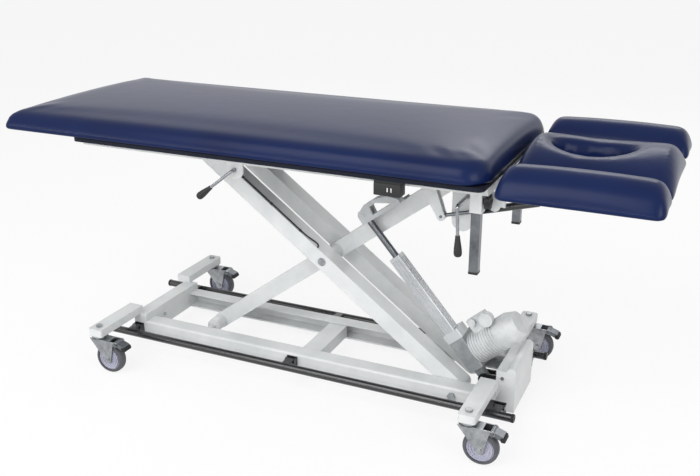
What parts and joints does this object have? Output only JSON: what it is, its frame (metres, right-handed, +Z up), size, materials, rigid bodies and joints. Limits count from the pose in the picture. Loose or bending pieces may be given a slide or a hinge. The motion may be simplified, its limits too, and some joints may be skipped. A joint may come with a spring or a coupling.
{
  "type": "hi-lo treatment table",
  "caption": "Electric scissor-lift treatment table on braked casters, with a long padded top and a tilting head section with a face hole and drop armrests.",
  "frame": {"origin": "on the floor under the middle of the cushions", "axes": "+X along the table to the head end, +Y across it to the far side, +Z up"},
  "size_m": [1.93, 0.708, 0.8341],
  "materials": {
    "white_paint": "light grey gloss powder coat",
    "grey_paint": "silver grey satin paint",
    "zinc": "zinc plated",
    "dark_chrome": "polished",
    "black_gloss": "black gloss paint",
    "black_plastic": "moulded, satin",
    "black_rubber": "dull",
    "tread": "smooth soft tread",
    "wheel_plastic": "pale lavender grey",
    "alloy": "ribbed casting, silver paint",
    "vinyl": "navy vinyl, fine grain, slight sheen",
    "plywood": "plywood, dark blue lacquer"
  },
  "bodies": {
    "base": {"base_rails": "white_paint", "base_cross_members": "white_paint", "head_cross_beam": "white_paint", "caster_outriggers": "white_paint", "base_bolts": "zinc", "foot_bar_brackets": "black_gloss", "actuator_mount": "black_gloss"},
    "outer_arms": {"near_outer_arm": "white_paint", "far_outer_arm": "white_paint", "arm_shafts": "zinc", "arm_cable": "black_rubber"},
    "inner_arms": {"inner_arm": "white_paint", "inner_cross_tubes": "white_paint", "actuator_bracket": "grey_paint"},
    "upper_roller_pair": {"upper_rollers": "black_plastic"},
    "lower_roller_pair": {"lower_rollers": "black_plastic"},
    "push_rod": {"actuator_rod": "dark_chrome"},
    "actuator": {"actuator_tube": "alloy", "actuator_gearbox": "alloy", "actuator_lug": "zinc", "actuator_motor": "alloy"},
    "table_top": {"top_side_rails": "white_paint", "top_cross_members": "white_paint", "top_tracks": "white_paint", "main_board": "plywood", "main_cushion": "vinyl", "control_box": "black_plastic", "top_pivot_pins": "zinc", "armrest_posts": "dark_chrome", "under_frame_brackets": "white_paint"},
    "head_rest": {"head_frame": "grey_paint", "head_cushion": "vinyl"},
    "gas_spring_rod": {"gas_rod": "dark_chrome"},
    "gas_spring_cylinder": {"gas_cylinder": "black_gloss"},
    "near_armrest": {"near_armrest_bracket": "white_paint", "near_arm_pad": "vinyl"},
    "far_armrest": {"far_armrest_bracket": "white_paint", "far_arm_pad": "vinyl"},
    "near_knob": {"near_star_knob": "black_plastic"},
    "far_knob": {"far_star_knob": "black_plastic"},
    "head_release_lever": {"head_lever": "dark_chrome"},
    "foot_release_lever": {"foot_lever": "dark_chrome"},
    "near_bar": {"near_foot_bar": "black_gloss"},
    "far_bar": {"far_foot_bar": "black_gloss"},
    "foot_near_swivel": {"foot_near_caster_fork": "zinc"},
    "foot_near_wheel": {"foot_near_tyre": "tread", "foot_near_hub": "wheel_plastic"},
    "foot_near_brake": {"foot_near_brake_pedal": "black_rubber"},
    "foot_far_swivel": {"foot_far_caster_fork": "zinc"},
    "foot_far_wheel": {"foot_far_tyre": "tread", "foot_far_hub": "wheel_plastic"},
    "foot_far_brake": {"foot_far_brake_pedal": "black_rubber"},
    "head_near_swivel": {"head_near_caster_fork": "zinc"},
    "head_near_wheel": {"head_near_tyre": "tread", "head_near_hub": "wheel_plastic"},
    "head_near_brake": {"head_near_brake_pedal": "black_rubber"},
    "head_far_swivel": {"head_far_caster_fork": "zinc"},
    "head_far_wheel": {"head_far_tyre": "tread", "head_far_hub": "wheel_plastic"},
    "head_far_brake": {"head_far_brake_pedal": "black_rubber"}
  },
  "joints": [
    {"name": "lift", "type": "hinge", "parent": "base", "child": "outer_arms", "pos_m": [0.432, 0, 0.075], "axis": [0, 1, 0], "range_deg": [-19.3, 7.5]},
    {"name": "scissor_centre", "type": "hinge", "parent": "outer_arms", "child": "inner_arms", "pos_m": [-0.00795, 0, 0.40173], "axis": [0, 1, 0], "range_deg": [-15.2, 38.8]},
    {"name": "top_level", "type": "hinge", "parent": "inner_arms", "child": "table_top", "pos_m": [0.432, 0, 0.72846], "axis": [0, 1, 0], "range_deg": [-19.5, 7.7]},
    {"name": "upper_roller_spin", "type": "hinge", "parent": "outer_arms", "child": "upper_roller_pair", "pos_m": [-0.44789, 0, 0.72846], "axis": [0, 1, 0], "continuous": true},
    {"name": "lower_roller_spin", "type": "hinge", "parent": "inner_arms", "child": "lower_roller_pair", "pos_m": [-0.44789, 0, 0.075], "axis": [0, 1, 0], "continuous": true},
    {"name": "push_rod_pivot", "type": "hinge", "parent": "inner_arms", "child": "push_rod", "pos_m": [0.09953, -0.022, 0.54383], "axis": [0, 1, 0], "range_deg": [-37.4, 14.7]},
    {"name": "actuator_stroke", "type": "slide", "parent": "push_rod", "child": "actuator", "axis": [0.6538, 0, -0.7567], "range_m": [-0.099, 0.0388]},
    {"name": "head_tilt", "type": "hinge", "parent": "table_top", "child": "head_rest", "pos_m": [0.559, 0, 0.76046], "axis": [0, -1, 0], "range_deg": [-45, 22]},
    {"name": "gas_spring_pivot", "type": "hinge", "parent": "table_top", "child": "gas_spring_rod", "pos_m": [0.388, -0.169, 0.626], "axis": [0, -1, 0], "range_deg": [-15.7, 7.8]},
    {"name": "gas_spring_stroke", "type": "slide", "parent": "gas_spring_rod", "child": "gas_spring_cylinder", "axis": [0.9651, 0, 0.262], "range_m": [-0.0778, 0.0385]},
    {"name": "near_armrest_drop", "type": "slide", "parent": "table_top", "child": "near_armrest", "axis": [0, 0, 1], "range_m": [-0.15, 0.01]},
    {"name": "near_knob_turn", "type": "hinge", "parent": "near_armrest", "child": "near_knob", "pos_m": [0.5158, -0.2265, 0.7], "axis": [1, 0, 0], "continuous": true},
    {"name": "near_bar_rock", "type": "hinge", "parent": "base", "child": "near_bar", "pos_m": [0, -0.166, 0.082], "axis": [1, 0, 0], "range_deg": [-8, 8], "stiffness_Nm_per_rad": 60},
    {"name": "far_armrest_drop", "type": "slide", "parent": "table_top", "child": "far_armrest", "axis": [0, 0, 1], "range_m": [-0.16, 0]},
    {"name": "far_knob_turn", "type": "hinge", "parent": "far_armrest", "child": "far_knob", "pos_m": [0.5158, 0.2265, 0.71], "axis": [1, 0, 0], "continuous": true},
    {"name": "far_bar_rock", "type": "hinge", "parent": "base", "child": "far_bar", "pos_m": [0, 0.166, 0.082], "axis": [1, 0, 0], "range_deg": [-8, 8], "stiffness_Nm_per_rad": 60},
    {"name": "head_lever_pull", "type": "hinge", "parent": "table_top", "child": "head_release_lever", "pos_m": [0.455, -0.25, 0.686], "axis": [0, 1, 0], "range_deg": [0, 20], "stiffness_Nm_per_rad": 2, "springref_deg": -5.73},
    {"name": "foot_lever_pull", "type": "hinge", "parent": "table_top", "child": "foot_release_lever", "pos_m": [-0.201, -0.276, 0.707], "axis": [0, 1, 0], "range_deg": [0, 20], "stiffness_Nm_per_rad": 2, "springref_deg": -5.73},
    {"name": "foot_near_swivel_turn", "type": "hinge", "parent": "base", "child": "foot_near_swivel", "pos_m": [-0.69, -0.328, 0.124], "axis": [0, 0, 1], "continuous": true},
    {"name": "foot_near_wheel_spin", "type": "hinge", "parent": "foot_near_swivel", "child": "foot_near_wheel", "pos_m": [-0.652, -0.328, 0.05], "axis": [0, 1, 0], "continuous": true},
    {"name": "foot_near_brake_press", "type": "hinge", "parent": "foot_near_swivel", "child": "foot_near_brake", "pos_m": [-0.62, -0.328, 0.107], "axis": [0, 1, 0], "range_deg": [0, 16]},
    {"name": "foot_far_swivel_turn", "type": "hinge", "parent": "base", "child": "foot_far_swivel", "pos_m": [-0.69, 0.328, 0.124], "axis": [0, 0, 1], "continuous": true},
    {"name": "foot_far_wheel_spin", "type": "hinge", "parent": "foot_far_swivel", "child": "foot_far_wheel", "pos_m": [-0.652, 0.328, 0.05], "axis": [0, 1, 0], "continuous": true},
    {"name": "foot_far_brake_press", "type": "hinge", "parent": "foot_far_swivel", "child": "foot_far_brake", "pos_m": [-0.62, 0.328, 0.107], "axis": [0, 1, 0], "range_deg": [0, 16]},
    {"name": "head_near_swivel_turn", "type": "hinge", "parent": "base", "child": "head_near_swivel", "pos_m": [0.536, -0.328, 0.124], "axis": [0, 0, 1], "continuous": true},
    {"name": "head_near_wheel_spin", "type": "hinge", "parent": "head_near_swivel", "child": "head_near_wheel", "pos_m": [0.574, -0.328, 0.05], "axis": [0, 1, 0], "continuous": true},
    {"name": "head_near_brake_press", "type": "hinge", "parent": "head_near_swivel", "child": "head_near_brake", "pos_m": [0.606, -0.328, 0.107], "axis": [0, 1, 0], "range_deg": [0, 16]},
    {"name": "head_far_swivel_turn", "type": "hinge", "parent": "base", "child": "head_far_swivel", "pos_m": [0.536, 0.328, 0.124], "axis": [0, 0, 1], "continuous": true},
    {"name": "head_far_wheel_spin", "type": "hinge", "parent": "head_far_swivel", "child": "head_far_wheel", "pos_m": [0.574, 0.328, 0.05], "axis": [0, 1, 0], "continuous": true},
    {"name": "head_far_brake_press", "type": "hinge", "parent": "head_far_swivel", "child": "head_far_brake", "pos_m": [0.606, 0.328, 0.107], "axis": [0, 1, 0], "range_deg": [0, 16]}
  ],
  "couplings": [
    {"joint": "scissor_centre", "follows": "lift", "ratio": -2},
    {"joint": "top_level", "follows": "lift", "ratio": 1},
    {"joint": "push_rod_pivot", "follows": "lift", "ratio": 1.925},
    {"joint": "actuator_stroke", "follows": "lift", "m_per_rad": 0.292},
    {"joint": "gas_spring_pivot", "follows": "head_tilt", "ratio": 0.345},
    {"joint": "gas_spring_stroke", "follows": "head_tilt", "m_per_rad": 0.098}
  ]
}
